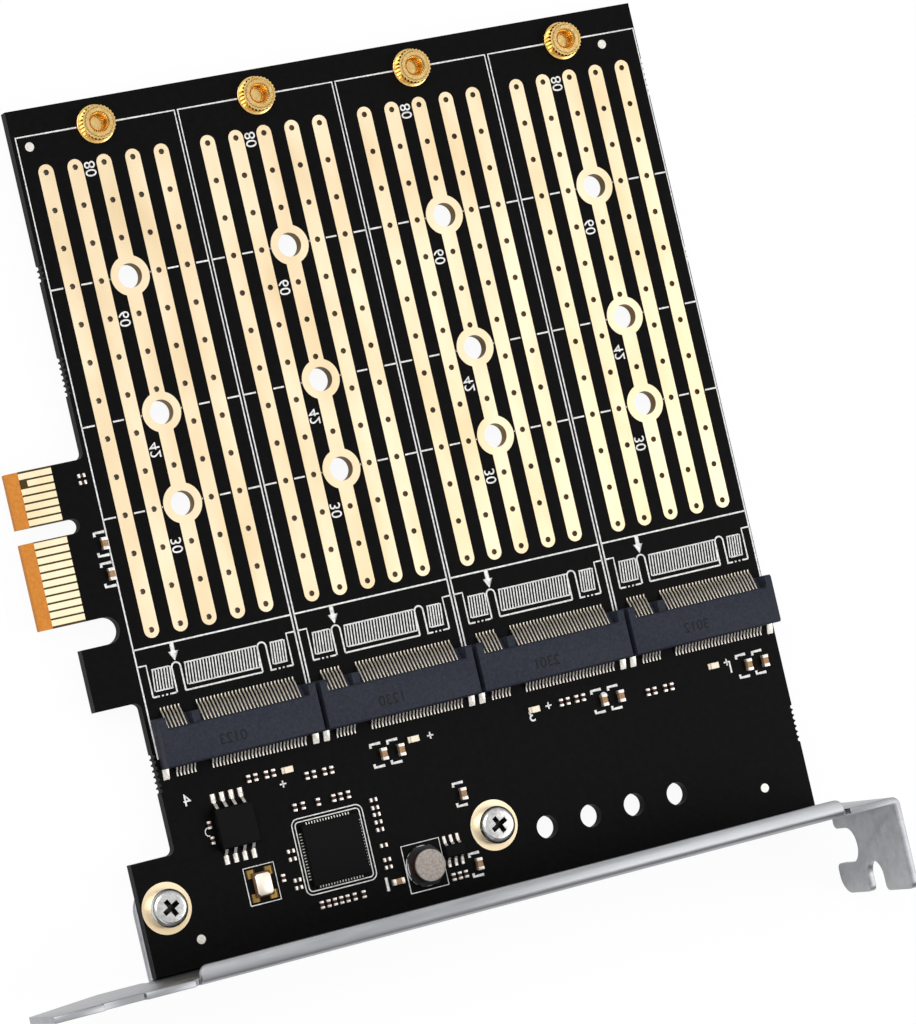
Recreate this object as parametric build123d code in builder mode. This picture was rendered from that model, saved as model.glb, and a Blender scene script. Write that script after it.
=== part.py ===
from build123d import *
import os

# Add-in card that carries four solid-state drive modules side by side, on a full-height slot bracket.
# Millimetres. The origin is the middle of the edge tongue's key notch, at the tongue's outer edge and at
# half the board's thickness. +X runs from the tongue into the board, +Y away from the bracket, and +Z out
# of the side that carries the parts.

os.makedirs("parts", exist_ok=True)

# Board
board_thickness = 1.6
tongue_reach = 10.75         # how far the tongue stands out of the long edge beside it
bevel_length = 1.6
bevel_depth = 0.45
key_width = 1.9
key_floor = 2.55             # board left between the key notch and the long edge's line
guard_notch_width = 3.5      # rounded notch between the tongue and the hook beside it
guard_notch_floor = 0.45
hook_length = 8.1
hook_reach = 6.15            # the hook and the bracket ear stand this far out of the long edge
ear_length = 14.7
far_margin = 3.5             # from the row of standoffs to the far edge
left_margin = 0.7            # from the long edge to the first socket
right_margin = 0.26
chip_zone_depth = 25.5       # from the sockets' rear to the edge at the bracket
inner_corner_radius = 0.9

# Edge contacts
contact_pitch = 1.0
contact_width = 0.76
contact_length = 4.5
contact_thickness = 0.06
short_contact_loss = 1.0     # the second contact from the far side starts this much further in
key_to_contact = 0.17
contact_to_edge = 0.27
long_side_contacts = 11
short_side_contacts = 7

# Drive module bays
bay_count = 4
socket_gap = 0.63            # between neighbouring sockets
module_length = 80.0
shorter_module_lengths = (60.0, 42.0, 30.0)
key_to_module_end = 30.05    # how far the modules' contact ends lie from the key, towards the bracket
module_hole_diameter = 3.2
hole_land_diameter = 5.3
land_sides = 12

# Heat-spreading copper strips under each module
strips_per_bay = 5
strip_width = 2.06
strip_land_gap = 0.32        # between a hole's land and the next strip
strip_end_chamfer = 0.6
strip_to_standoff = 3.95
strip_to_socket = 10.15
copper_thickness = 0.06

# Module sockets
socket_height = 3.2
socket_roof_depth = 5.0
socket_roof_thickness = 0.6
mouth_height = 0.85
mouth_depth = 2.5
socket_arm_length = 1.5
socket_arm_width = 1.0
socket_end_clearance = 0.45  # between the row of pins and an end arm
socket_edge_chamfer = 0.25
module_end_gap = 0.2
key_rib_width = 1.1
pin_pitch = 0.5
pin_positions = 38
keyed_out_pins = (6, 7, 8, 9)
pin_width = 0.26
pin_run = 3.0                # length over which the front pins rise
pin_seat_gap = 0.02
front_foot_reach = 0.8       # from the socket's arms to the inner end of the front pins' feet
pin_foot_length = 0.5
rear_foot_length = 1.3
rear_pin_rise = 0.85
hold_down_length = 1.4
hold_down_width = 0.9
hold_down_rise = 0.5

# Standoffs that the modules are screwed to
standoff_height = 1.65
standoff_diameter = 4.6
standoff_thread_diameter = 2.05
knurl_sides = 16

# Plain round holes near the bracket
round_hole_diameter = 3.05
round_hole_pitch = 6.5
round_hole_count = 4
screw_to_round_holes = 7.4
round_hole_inset = 6.35      # from the edge at the bracket

# Bracket
sheet = 0.9
plate_width = 18.42
plate_length = 120.02        # tongue tip to the mounting tab's outer face
tongue_overhang = 19.25      # the bracket's tongue beyond the board's ear
tip_width = 10.2
taper_length = 11.9
edge_notch_start = 6.6       # shallow notch in the plate's edge, from the tip
edge_notch_length = 5.6
edge_notch_depth = 1.1
lip_start = 19.7             # stiffening lip, from the tip
lip_to_tab = 7.4
lip_flat = 1.3               # what is left of the lip beyond its bend
lip_corner_radius = 1.2
bend_inner_radius = 0.2
bend_clearance = 0.05        # between the board's edge and the start of the ears' bends
relief_width = 0.9
relief_past_bend = 0.5
ear_half_width = 3.7
tab_length = 11.5            # past the plate's outer face
tab_overhang = 1.4           # the hooked tooth stands this far past the plate's narrow edge
tab_root_length = 2.6
tab_notch_radius = 2.38
tab_notch_depth = 6.9        # from the tooth's side to the notch's bottom
tab_slot_width = 4.42
tab_slot_offset = 8.8        # the slot's middle, from the plate's narrow edge
tab_slot_depth = 4.2
tooth_corner = 1.5
tab_corner_radius = 1.0

# Bracket screws
screw_diameter = 2.9
screw_hole_clearance = 0.3   # in the board, across the diameter
ear_hole_clearance = 0.1     # in the bracket's ear, across the diameter
screw_inset = 8.3            # from the edge at the bracket
screw_spacing = 46.6
screw_land_diameter = 6.7
screw_land_margin = 0.05     # from the first screw's land to the ear's side
screw_head_diameter = 5.0
screw_head_height = 1.75
screw_head_chamfer = 0.5
head_sides = 16
screw_tip_past_ear = 0.7
recess_span = 2.7
recess_width = 0.75
recess_depth = 1.1

# Controller
controller_from_first_bay = 9.6
controller_inset = 10.3      # from the edge at the bracket, as are the next four
controller_size = 8.0
controller_height = 0.85
controller_chamfer = 0.12

# Flash memory chip
flash_from_first_bay = -3.1
flash_inset = 16.4
flash_width = 5.28
flash_length = 5.28
flash_span = 7.9
flash_height = 1.8
flash_lead_pitch = 1.27
flash_lead_width = 0.42
leads_per_side = 4

# Voltage regulator chip
regulator_from_controller = 16.2
regulator_inset = 6.45
regulator_length = 2.9
regulator_width = 1.6
regulator_span = 3.3
regulator_height = 1.1
regulator_lead_pitch = 0.95
regulator_lead_width = 0.4
regulator_leads_per_side = 3

# Gull-wing leads, and the moulded bodies that they leave
lead_thickness = 0.15
lead_foot = 0.55
body_standoff = 0.1
body_chamfer = 0.15

# Crystal
crystal_from_controller = -10.65
crystal_inset = 8.3
crystal_width = 2.5
crystal_length = 3.2
crystal_base_height = 0.35
crystal_lid_height = 0.4
crystal_lid_inset = 0.18
crystal_lid_corner = 0.3

# Power inductor
inductor_from_controller = 11.8
inductor_inset = 5.4
inductor_width = 4.5
inductor_length = 5.2
inductor_corner = 1.1
inductor_base_height = 0.5
inductor_top_diameter = 4.2
inductor_top_height = 0.5
inductor_neck_diameter = 2.4
inductor_height = 2.1
winding_clearance = 0.1
drum_sides = 16

# Chip capacitors of 1.6 mm
capacitor_length = 1.6
capacitor_width = 0.8
capacitor_height = 0.8

# Chip resistors and capacitors of 1.0 mm
small_length = 1.0
small_width = 0.5
small_height = 0.45
row_to_controller = 2.5      # from the controller's sides to the rows of small parts above and below it
column_left_gap = 2.0
column_right_gap = 2.7
small_to_flash = 0.66

# Places of the small parts: behind the sockets they count from their bay's middle and the sockets' rear
lamp_row = 3.75
lamp_offsets = (5.7, 1.25, -3.55, 1.0)
capacitor_row = 4.7
capacitor_pair_pitch = 2.5
capacitor_pair_offsets = (-2.1, 7.8, 7.35)
small_pair_pitch = 1.0
near_row = 3.7
near_pair_offsets = {0: (0.7, 3.2), 2: (0.9, 3.2)}
far_row = 5.1
far_pair_offsets = {0: (8.6, 11.1), 3: (-8.9, -6.3)}

# Round the controller and the regulator they count from the controller's middle, and on the tongue from
# the origin
above_controller = (-4.1, -2.95, -0.8, 1.4, 2.4, 3.5)
below_controller = (-3.45, -2.5, -1.6, -0.7, 0.2, 1.2, 2.5)
left_of_controller = (1.2, 0.15, -2.6, -3.6)
right_of_controller = (5.05, 4.0, 3.1, 2.1, 1.1, -1.0, -2.9, -3.9)
crystal_part = (-7.8, -1.9)
below_regulator = (15.3, 16.2, 17.1)
below_regulator_row = -7.25
input_capacitor = (7.5, -6.0)
output_capacitors = ((19.2, 3.0), (19.2, -6.4))
beside_flash = (0.85, -1.15)
tongue_capacitors = (-3.0, -7.0)
tongue_small_parts = (6.05, 5.15)

# Indicator lamps
lamp_length = 1.6
lamp_width = 0.8
lamp_base_height = 0.3
lamp_lens_length = 1.1
lamp_height = 0.65

# Values worked out from the sizes above
front_z = board_thickness / 2
back_z = -board_thickness / 2
hidden_sides = 10            # sides of round features that another piece covers

key_to_first_contact = key_width / 2 + key_to_contact + contact_width / 2
contact_to_side = contact_width / 2 + contact_to_edge
tongue_long = key_to_first_contact + (long_side_contacts - 1) * contact_pitch + contact_to_side
tongue_short = key_to_first_contact + (short_side_contacts - 1) * contact_pitch + contact_to_side
key_depth = tongue_reach - key_floor
guard_notch_depth = tongue_reach - guard_notch_floor
guard_notch_y = -tongue_long - guard_notch_width / 2
hook_end_y = -tongue_long - guard_notch_width - hook_length
lobe_x = tongue_reach - hook_reach

socket_width = pin_positions * pin_pitch + 2 * (socket_end_clearance + socket_arm_width)
socket_floor_height = socket_height - socket_roof_thickness - mouth_height
bay_pitch = socket_width + socket_gap
first_bay_x = tongue_reach + left_margin + socket_width / 2
board_right = first_bay_x + (bay_count - 1) * bay_pitch + socket_width / 2 + right_margin
module_end_y = -key_to_module_end
screw_row_y = module_end_y + module_length
far_edge_y = screw_row_y + far_margin
mouth_back_y = module_end_y - module_end_gap
roof_front_y = mouth_back_y + mouth_depth
arm_front_y = roof_front_y + socket_arm_length
socket_rear_y = roof_front_y - socket_roof_depth
bracket_edge_y = socket_rear_y - chip_zone_depth
ear_start_y = bracket_edge_y + ear_length
foot_inner_y = arm_front_y + front_foot_reach
foot_outer_y = foot_inner_y + pin_foot_length
front_pins = [n for n in range(pin_positions) if n not in keyed_out_pins]
rear_pins = front_pins[:-1]
middle_pin = (pin_positions - 1) / 2
key_rib_pin = sum(keyed_out_pins) / len(keyed_out_pins)
key_rib_offset = (middle_pin - key_rib_pin) * pin_pitch + pin_pitch / 4
strip_pitch = (hole_land_diameter + strip_width) / 2 + strip_land_gap
strip_far_end_y = screw_row_y - strip_to_standoff
strip_near_end_y = arm_front_y + strip_to_socket

first_screw_x = lobe_x + screw_land_margin + screw_land_diameter / 2
screw_x = (first_screw_x, first_screw_x + screw_spacing)
screw_y = bracket_edge_y + screw_inset
screw_hole_diameter = screw_diameter + screw_hole_clearance

bend_outer_radius = bend_inner_radius + sheet
plate_inner_y = bracket_edge_y - bend_clearance - bend_inner_radius
plate_outer_y = plate_inner_y - sheet
plate_low_z = back_z - sheet
plate_high_z = plate_low_z + plate_width
tip_x = lobe_x - tongue_overhang
tab_outer_x = tip_x + plate_length
tab_inner_x = tab_outer_x - sheet
tab_end_y = plate_outer_y - tab_length
lip_left_x = tip_x + lip_start
lip_right_x = tab_inner_x - lip_to_tab
lip_width = bend_outer_radius + lip_flat
relief_depth = bend_outer_radius + relief_past_bend


def bay_x(bay):
    return first_bay_x + bay * bay_pitch


def pin_x(bay, pin):
    return bay_x(bay) + (pin - middle_pin) * pin_pitch


def behind_socket(bay, along, behind):
    return (bay_x(bay) + along, socket_rear_y - behind)


def near(value, target):
    return abs(value - target) < 0.01


controller_xy = (bay_x(0) + controller_from_first_bay, bracket_edge_y + controller_inset)
flash_xy = (bay_x(0) + flash_from_first_bay, bracket_edge_y + flash_inset)
crystal_xy = (controller_xy[0] + crystal_from_controller, bracket_edge_y + crystal_inset)
inductor_xy = (controller_xy[0] + inductor_from_controller, bracket_edge_y + inductor_inset)
regulator_xy = (controller_xy[0] + regulator_from_controller, bracket_edge_y + regulator_inset)


def beside_controller(across, along):
    return (controller_xy[0] + across, controller_xy[1] + along)


module_holes = [
    (bay_x(bay), module_end_y + length) for bay in range(bay_count) for length in shorter_module_lengths
]
standoff_places = [(bay_x(bay), screw_row_y) for bay in range(bay_count)]
screw_places = [(x, screw_y) for x in screw_x]
round_holes = [
    (screw_x[1] + screw_to_round_holes + n * round_hole_pitch, bracket_edge_y + round_hole_inset)
    for n in range(round_hole_count)
]
lamp_places = [behind_socket(bay, along, lamp_row) for bay, along in enumerate(lamp_offsets)]
capacitors_along_y = [
    behind_socket(bay, middle + side * capacitor_pair_pitch / 2, capacitor_row)
    for bay, middle in enumerate(capacitor_pair_offsets, start=1)
    for side in (-1, 1)
]
capacitors_along_y += [beside_controller(*place) for place in output_capacitors]
capacitors_along_y += [(tongue_reach, y) for y in tongue_capacitors]
capacitors_along_x = [beside_controller(*input_capacitor)]

upper_row = controller_size / 2 + row_to_controller
left_column = -controller_size / 2 - column_left_gap
right_column = controller_size / 2 + column_right_gap
flash_side_x = flash_xy[0] - flash_width / 2 - small_to_flash
small_along_y = [
    behind_socket(bay, middle + side * small_pair_pitch / 2, row)
    for row, pairs in ((near_row, near_pair_offsets), (far_row, far_pair_offsets))
    for bay, middles in pairs.items()
    for middle in middles
    for side in (-1, 1)
]
small_along_y += [beside_controller(along, upper_row) for along in above_controller]
small_along_y += [beside_controller(along, -upper_row) for along in below_controller]
small_along_y += [beside_controller(along, below_regulator_row) for along in below_regulator]
small_along_y += [beside_controller(*crystal_part)]
small_along_y += [(flash_side_x, flash_xy[1] + along) for along in beside_flash]
small_along_x = [beside_controller(left_column, along) for along in left_of_controller]
small_along_x += [beside_controller(right_column, along) for along in right_of_controller]
small_along_x += [(tongue_reach - small_length, y) for y in tongue_small_parts]


# Board: one outline with its tongue, hook and bracket ear, then notches, holes and the tongue's bevel
with BuildPart() as circuit_board:
    with BuildSketch(Plane.XY.offset(back_z)) as board_outline:
        with BuildLine():
            Polyline(
                (tongue_reach, far_edge_y),
                (board_right, far_edge_y),
                (board_right, bracket_edge_y),
                (lobe_x, bracket_edge_y),
                (lobe_x, ear_start_y),
                (tongue_reach, ear_start_y),
                (tongue_reach, hook_end_y),
                (lobe_x, hook_end_y),
                (lobe_x, -tongue_long),
                (0, -tongue_long),
                (0, tongue_short),
                (tongue_reach, tongue_short),
                close=True,
            )
        make_face()
        long_edge = [v for v in board_outline.vertices() if near(v.X, tongue_reach)]
        fillet([v for v in long_edge if not near(v.Y, far_edge_y)], radius=inner_corner_radius)
        SlotOverall(2 * key_depth, key_width, mode=Mode.SUBTRACT)
        with Locations((0, guard_notch_y)):
            SlotOverall(2 * guard_notch_depth, guard_notch_width, mode=Mode.SUBTRACT)
        with Locations(module_holes):
            Circle(module_hole_diameter / 2, mode=Mode.SUBTRACT)
        with Locations(round_holes):
            Circle(round_hole_diameter / 2, mode=Mode.SUBTRACT)
        with Locations(screw_places):
            RegularPolygon(screw_hole_diameter / 2, hidden_sides, major_radius=False, mode=Mode.SUBTRACT)
    extrude(amount=board_thickness)
    with BuildSketch(Plane.XZ):
        with BuildLine():
            Polyline((0, front_z), (bevel_length, front_z), (0, front_z - bevel_depth), close=True)
        make_face()
        mirror(about=Plane.XY)
    extrude(amount=tongue_long + tongue_short, both=True, mode=Mode.SUBTRACT)
circuit_board.part.label = "circuit_board"
export_step(circuit_board.part, "parts/circuit_board.step")


# Gold-plated contacts on both faces of the tongue; on the front the second from the far side is short
def contact_row(face_z, shorten):
    long_side = [-(key_to_first_contact + n * contact_pitch) for n in range(long_side_contacts)]
    short_side = [key_to_first_contact + n * contact_pitch for n in range(short_side_contacts)]
    places = long_side + short_side
    with BuildPart() as row:
        with BuildSketch(Plane.XY.offset(face_z)):
            for place in places:
                loss = short_contact_loss if shorten and place == places[-2] else 0
                with Locations((bevel_length + (contact_length + loss) / 2, place)):
                    Rectangle(contact_length - loss, contact_width)
        extrude(amount=contact_thickness)
    return row


contacts_front = contact_row(front_z, True)
contacts_front.part.label = "edge_contacts_front"
export_step(contacts_front.part, "parts/edge_contacts_front.step")
contacts_back = contact_row(back_z - contact_thickness, False)
contacts_back.part.label = "edge_contacts_back"
export_step(contacts_back.part, "parts/edge_contacts_back.step")


# Bare gold-plated copper under each module: five strips, the middle one with the lands of the holes
def thermal_strips(bay):
    holes = [hole for hole in module_holes if hole[0] == bay_x(bay)]
    with BuildPart() as strips:
        with BuildSketch(Plane.XY.offset(front_z)) as outline:
            with Locations((bay_x(bay), (strip_far_end_y + strip_near_end_y) / 2)):
                with GridLocations(strip_pitch, strip_width, strips_per_bay, 1):
                    Rectangle(strip_width, strip_far_end_y - strip_near_end_y)
            chamfer(outline.vertices(), length=strip_end_chamfer)
            with Locations(holes):
                RegularPolygon(hole_land_diameter / 2, land_sides)
                RegularPolygon(module_hole_diameter / 2, hidden_sides, major_radius=False, mode=Mode.SUBTRACT)
        extrude(amount=copper_thickness)
    return strips


# Socket housing: the section across the mouth, then the end arms and the key rib
def socket_housing(bay):
    pin_slope = socket_floor_height / pin_run
    with BuildPart() as housing:
        with BuildSketch(Plane.YZ.offset(bay_x(bay) - socket_width / 2)):
            with BuildLine():
                Polyline(
                    (arm_front_y, front_z),
                    (arm_front_y, front_z + pin_slope * front_foot_reach - pin_seat_gap),
                    (foot_inner_y - pin_run, front_z + socket_floor_height - pin_seat_gap),
                    (mouth_back_y, front_z + socket_floor_height - pin_seat_gap),
                    (mouth_back_y, front_z + socket_height - socket_roof_thickness),
                    (roof_front_y, front_z + socket_height - socket_roof_thickness),
                    (roof_front_y, front_z + socket_height),
                    (socket_rear_y, front_z + socket_height),
                    (socket_rear_y, front_z),
                    close=True,
                )
            make_face()
        extrude(amount=socket_width)
        arm_middle_y = (arm_front_y + mouth_back_y) / 2
        with BuildSketch(Plane.XY.offset(front_z)):
            with Locations((bay_x(bay), arm_middle_y)):
                with GridLocations(socket_width - socket_arm_width, socket_arm_width, 2, 1):
                    Rectangle(socket_arm_width, arm_front_y - mouth_back_y)
        extrude(amount=socket_height)
        with BuildSketch(Plane.XY.offset(front_z)):
            with Locations((bay_x(bay) - key_rib_offset, arm_middle_y)):
                Rectangle(key_rib_width, arm_front_y - mouth_back_y)
        extrude(amount=socket_height - socket_roof_thickness)
        top_edges = housing.edges().filter_by(Axis.X).group_by(Axis.Z)[-1]
        chamfer(top_edges, length=socket_edge_chamfer)
    return housing


# Socket pins: the front row rises from its feet into the mouth, the rear row leaves under the back wall
def socket_pins(bay):
    front_planes = [Plane.YZ.offset(pin_x(bay, pin) - pin_width / 2) for pin in front_pins]
    rear_planes = [Plane.YZ.offset(pin_x(bay, pin) + (pin_pitch - pin_width) / 2) for pin in rear_pins]
    with BuildPart() as pins:
        with BuildSketch(*front_planes):
            with BuildLine():
                Polyline(
                    (foot_outer_y, front_z),
                    (foot_inner_y, front_z),
                    (foot_outer_y - pin_run, front_z + socket_floor_height),
                    close=True,
                )
            make_face()
        extrude(amount=pin_width)
        with BuildSketch(*rear_planes):
            with BuildLine():
                Polyline(
                    (socket_rear_y, front_z),
                    (socket_rear_y - rear_foot_length, front_z),
                    (socket_rear_y, front_z + rear_pin_rise),
                    close=True,
                )
            make_face()
        extrude(amount=pin_width)
    return pins


for bay in range(bay_count):
    strips = thermal_strips(bay)
    strips.part.label = f"thermal_strips_{bay + 1}"
    export_step(strips.part, f"parts/thermal_strips_{bay + 1}.step")
    housing = socket_housing(bay)
    housing.part.label = f"socket_housing_{bay + 1}"
    export_step(housing.part, f"parts/socket_housing_{bay + 1}.step")
    pins = socket_pins(bay)
    pins.part.label = f"socket_pins_{bay + 1}"
    export_step(pins.part, f"parts/socket_pins_{bay + 1}.step")

# Solder tabs that hold each socket down at its two ends
hold_down_planes = [
    Plane.YZ.offset(bay_x(bay) + side * (socket_width - hold_down_width) / 2 - hold_down_width / 2)
    for bay in range(bay_count)
    for side in (-1, 1)
]
with BuildPart() as hold_downs:
    with BuildSketch(*hold_down_planes):
        with BuildLine():
            Polyline(
                (socket_rear_y, front_z),
                (socket_rear_y - hold_down_length, front_z),
                (socket_rear_y, front_z + hold_down_rise),
                close=True,
            )
        make_face()
    extrude(amount=hold_down_width)
hold_downs.part.label = "socket_hold_downs"
export_step(hold_downs.part, "parts/socket_hold_downs.step")


# Standoff: a barrel with many flats for its knurl, soldered to the board, and a tapped bore through it
def standoff(place):
    with BuildPart() as post:
        with BuildSketch(Plane.XY.offset(front_z)):
            with Locations(place):
                RegularPolygon(standoff_diameter / 2, knurl_sides)
                Circle(standoff_thread_diameter / 2, mode=Mode.SUBTRACT)
        extrude(amount=standoff_height)
    return post


for number, place in enumerate(standoff_places, start=1):
    post = standoff(place)
    post.part.label = f"standoff_{number}"
    export_step(post.part, f"parts/standoff_{number}.step")

# Gold lands under the heads of the bracket screws
with BuildPart() as screw_lands:
    with BuildSketch(Plane.XY.offset(front_z)):
        with Locations(screw_places):
            RegularPolygon(screw_land_diameter / 2, head_sides)
            RegularPolygon(screw_hole_diameter / 2, hidden_sides, major_radius=False, mode=Mode.SUBTRACT)
    extrude(amount=copper_thickness)
screw_lands.part.label = "screw_lands"
export_step(screw_lands.part, "parts/screw_lands.step")


def edges_along_x(part, low_x, high_x, y, z):
    return [
        edge
        for edge in part.edges().filter_by(Axis.X)
        if low_x < edge.center().X < high_x and near(edge.center().Y, y) and near(edge.center().Z, z)
    ]


# Bracket: one folded sheet with a tapered tongue, a stiffening lip, two screw ears and the mounting tab
with BuildPart() as bracket:
    with BuildSketch(Plane.XZ.offset(-plate_inner_y)):
        with BuildLine():
            Polyline(
                (tip_x, plate_high_z),
                (tip_x, plate_high_z - tip_width),
                (tip_x + taper_length, plate_low_z),
                (tab_outer_x, plate_low_z),
                (tab_outer_x, plate_high_z),
                close=True,
            )
        make_face()
        with Locations((tip_x + edge_notch_start + edge_notch_length / 2, plate_high_z)):
            Rectangle(edge_notch_length, 2 * edge_notch_depth, mode=Mode.SUBTRACT)
    extrude(amount=sheet)

    with BuildSketch(Plane.XY.offset(plate_high_z - sheet)) as lip_outline:
        with Locations(((lip_left_x + lip_right_x) / 2, plate_outer_y + lip_width / 2)):
            Rectangle(lip_right_x - lip_left_x, lip_width)
        fillet(lip_outline.vertices().group_by(Axis.Y)[-1], radius=lip_corner_radius)
    extrude(amount=sheet)

    with BuildSketch(Plane.XY.offset(plate_low_z)):
        with Locations(screw_places):
            Circle(ear_half_width)
        for x in screw_x:
            with Locations((x, (screw_y + plate_outer_y) / 2)):
                Rectangle(2 * ear_half_width, screw_y - plate_outer_y)
        with Locations(screw_places):
            ear_hole = (screw_diameter + ear_hole_clearance) / 2
            RegularPolygon(ear_hole, hidden_sides, major_radius=False, mode=Mode.SUBTRACT)
    extrude(amount=sheet)

    # Relief cuts beside each fold, so that the lip and the ears bend by themselves
    with BuildSketch(Plane.XZ.offset(-plate_inner_y)):
        with Locations((lip_left_x - relief_width / 2, plate_high_z), (lip_right_x + relief_width / 2, plate_high_z)):
            Rectangle(relief_width, 2 * relief_depth)
        for x in screw_x:
            with Locations((x, plate_low_z)):
                with GridLocations(2 * ear_half_width + relief_width, relief_depth, 2, 1):
                    Rectangle(relief_width, 2 * relief_depth)
    extrude(amount=sheet, mode=Mode.SUBTRACT)

    # Mounting tab, with a hooked notch for the chassis and a slot for its screw
    tooth_z = plate_low_z - tab_overhang
    notch_y = plate_outer_y - tab_root_length - tab_notch_radius
    with BuildSketch(Plane.YZ.offset(tab_inner_x)) as tab_outline:
        with BuildLine():
            Polyline(
                (plate_inner_y, plate_low_z),
                (plate_inner_y, plate_high_z),
                (tab_end_y, plate_high_z),
                (tab_end_y, tooth_z + tooth_corner),
                (tab_end_y + tooth_corner, tooth_z),
                (notch_y, tooth_z),
                (notch_y, plate_low_z),
                close=True,
            )
        make_face()
        with Locations((notch_y, tooth_z)):
            SlotOverall(2 * tab_notch_depth, 2 * tab_notch_radius, rotation=90, mode=Mode.SUBTRACT)
        with Locations((tab_end_y, plate_low_z + tab_slot_offset)):
            SlotOverall(2 * tab_slot_depth, tab_slot_width, mode=Mode.SUBTRACT)
        far_corner = [v for v in tab_outline.vertices() if near(v.X, tab_end_y) and near(v.Y, plate_high_z)]
        fillet(far_corner, radius=tab_corner_radius)
    extrude(amount=sheet)

    # Folds: a large radius outside and a small one inside
    outer_bends = edges_along_x(bracket, lip_left_x, lip_right_x, plate_outer_y, plate_high_z)
    inner_bends = edges_along_x(bracket, lip_left_x, lip_right_x, plate_inner_y, plate_high_z - sheet)
    for x in screw_x:
        ear_sides = (x - ear_half_width, x + ear_half_width)
        outer_bends += edges_along_x(bracket, *ear_sides, plate_outer_y, plate_low_z)
        inner_bends += edges_along_x(bracket, *ear_sides, plate_inner_y, back_z)
    upright = bracket.edges().filter_by(Axis.Z)
    outer_bends += [e for e in upright if near(e.center().X, tab_outer_x) and near(e.center().Y, plate_inner_y)]
    inner_bends += [e for e in upright if near(e.center().X, tab_inner_x) and near(e.center().Y, plate_outer_y)]
    fillet(outer_bends, radius=bend_outer_radius)
    fillet(inner_bends, radius=bend_inner_radius)
bracket.part.label = "bracket"
export_step(bracket.part, "parts/bracket.step")


# Cross-recessed pan-head screw through the board into the bracket's ear
def bracket_screw(place):
    head_z = front_z + copper_thickness
    tip_z = plate_low_z - screw_tip_past_ear
    with BuildPart() as screw:
        with BuildSketch(Plane.XY.offset(head_z)):
            with Locations(place):
                RegularPolygon(screw_head_diameter / 2, head_sides)
        extrude(amount=screw_head_height)
        chamfer(screw.edges().group_by(Axis.Z)[-1], length=screw_head_chamfer)
        with BuildSketch(Plane.XY.offset(tip_z)):
            with Locations(place):
                RegularPolygon(screw_diameter / 2, hidden_sides)
        extrude(amount=head_z - tip_z)
        with BuildSketch(Plane.XY.offset(head_z + screw_head_height)):
            with Locations(place):
                Rectangle(recess_span, recess_width)
                Rectangle(recess_width, recess_span)
        extrude(amount=-recess_depth, mode=Mode.SUBTRACT)
    return screw


for number, place in enumerate(screw_places, start=1):
    screw = bracket_screw(place)
    screw.part.label = f"bracket_screw_{number}"
    export_step(screw.part, f"parts/bracket_screw_{number}.step")

# Controller: a flat square package without leads
with BuildPart() as controller:
    with BuildSketch(Plane.XY.offset(front_z)):
        with Locations(controller_xy):
            Rectangle(controller_size, controller_size)
    extrude(amount=controller_height)
    chamfer(controller.edges().group_by(Axis.Z)[-1], length=controller_chamfer)
controller.part.label = "controller_chip"
export_step(controller.part, "parts/controller_chip.step")


# Moulded chip body with chamfered upper edges, held off the board by its leads
def moulded_body(place, size_x, size_y, height):
    with BuildPart() as body:
        with BuildSketch(Plane.XY.offset(front_z + body_standoff)):
            with Locations(place):
                Rectangle(size_x, size_y)
        extrude(amount=height - body_standoff)
        chamfer(body.edges().group_by(Axis.Z)[-1], length=body_chamfer)
    return body


# Two rows of gull-wing leads, each from half the body's height down to a foot on the board
def gull_wing_leads(place, body_y, span, height, count, pitch, width):
    knee_z = front_z + (height + body_standoff) / 2
    lead_planes = [
        Plane.YZ.offset(place[0] + (n - (count - 1) / 2) * pitch - width / 2) for n in range(count)
    ]
    with BuildPart() as leads:
        for side in (-1, 1):
            side_y = place[1] + side * body_y / 2
            toe_y = place[1] + side * span / 2
            heel_y = toe_y - side * lead_foot
            with BuildSketch(*lead_planes):
                with BuildLine():
                    Polyline(
                        (side_y, knee_z),
                        (side_y, knee_z - lead_thickness),
                        (heel_y, front_z),
                        (toe_y, front_z),
                        (toe_y, front_z + lead_thickness),
                        (heel_y, front_z + lead_thickness),
                        close=True,
                    )
                make_face()
            extrude(amount=width)
    return leads


flash = moulded_body(flash_xy, flash_width, flash_length, flash_height)
flash.part.label = "flash_chip"
export_step(flash.part, "parts/flash_chip.step")
flash_leads = gull_wing_leads(
    flash_xy, flash_length, flash_span, flash_height, leads_per_side, flash_lead_pitch, flash_lead_width
)
flash_leads.part.label = "flash_chip_leads"
export_step(flash_leads.part, "parts/flash_chip_leads.step")

regulator = moulded_body(regulator_xy, regulator_length, regulator_width, regulator_height)
regulator.part.label = "regulator_chip"
export_step(regulator.part, "parts/regulator_chip.step")
regulator_leads = gull_wing_leads(
    regulator_xy,
    regulator_width,
    regulator_span,
    regulator_height,
    regulator_leads_per_side,
    regulator_lead_pitch,
    regulator_lead_width,
)
regulator_leads.part.label = "regulator_chip_leads"
export_step(regulator_leads.part, "parts/regulator_chip_leads.step")

# Crystal: ceramic base with a metal lid
with BuildPart() as crystal_base:
    with BuildSketch(Plane.XY.offset(front_z)):
        with Locations(crystal_xy):
            Rectangle(crystal_width, crystal_length)
    extrude(amount=crystal_base_height)
crystal_base.part.label = "crystal_base"
export_step(crystal_base.part, "parts/crystal_base.step")

with BuildPart() as crystal_lid:
    with BuildSketch(Plane.XY.offset(front_z + crystal_base_height)) as lid_outline:
        with Locations(crystal_xy):
            Rectangle(crystal_width - 2 * crystal_lid_inset, crystal_length - 2 * crystal_lid_inset)
        chamfer(lid_outline.vertices(), length=crystal_lid_corner)
    extrude(amount=crystal_lid_height)
crystal_lid.part.label = "crystal_lid"
export_step(crystal_lid.part, "parts/crystal_lid.step")

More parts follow.
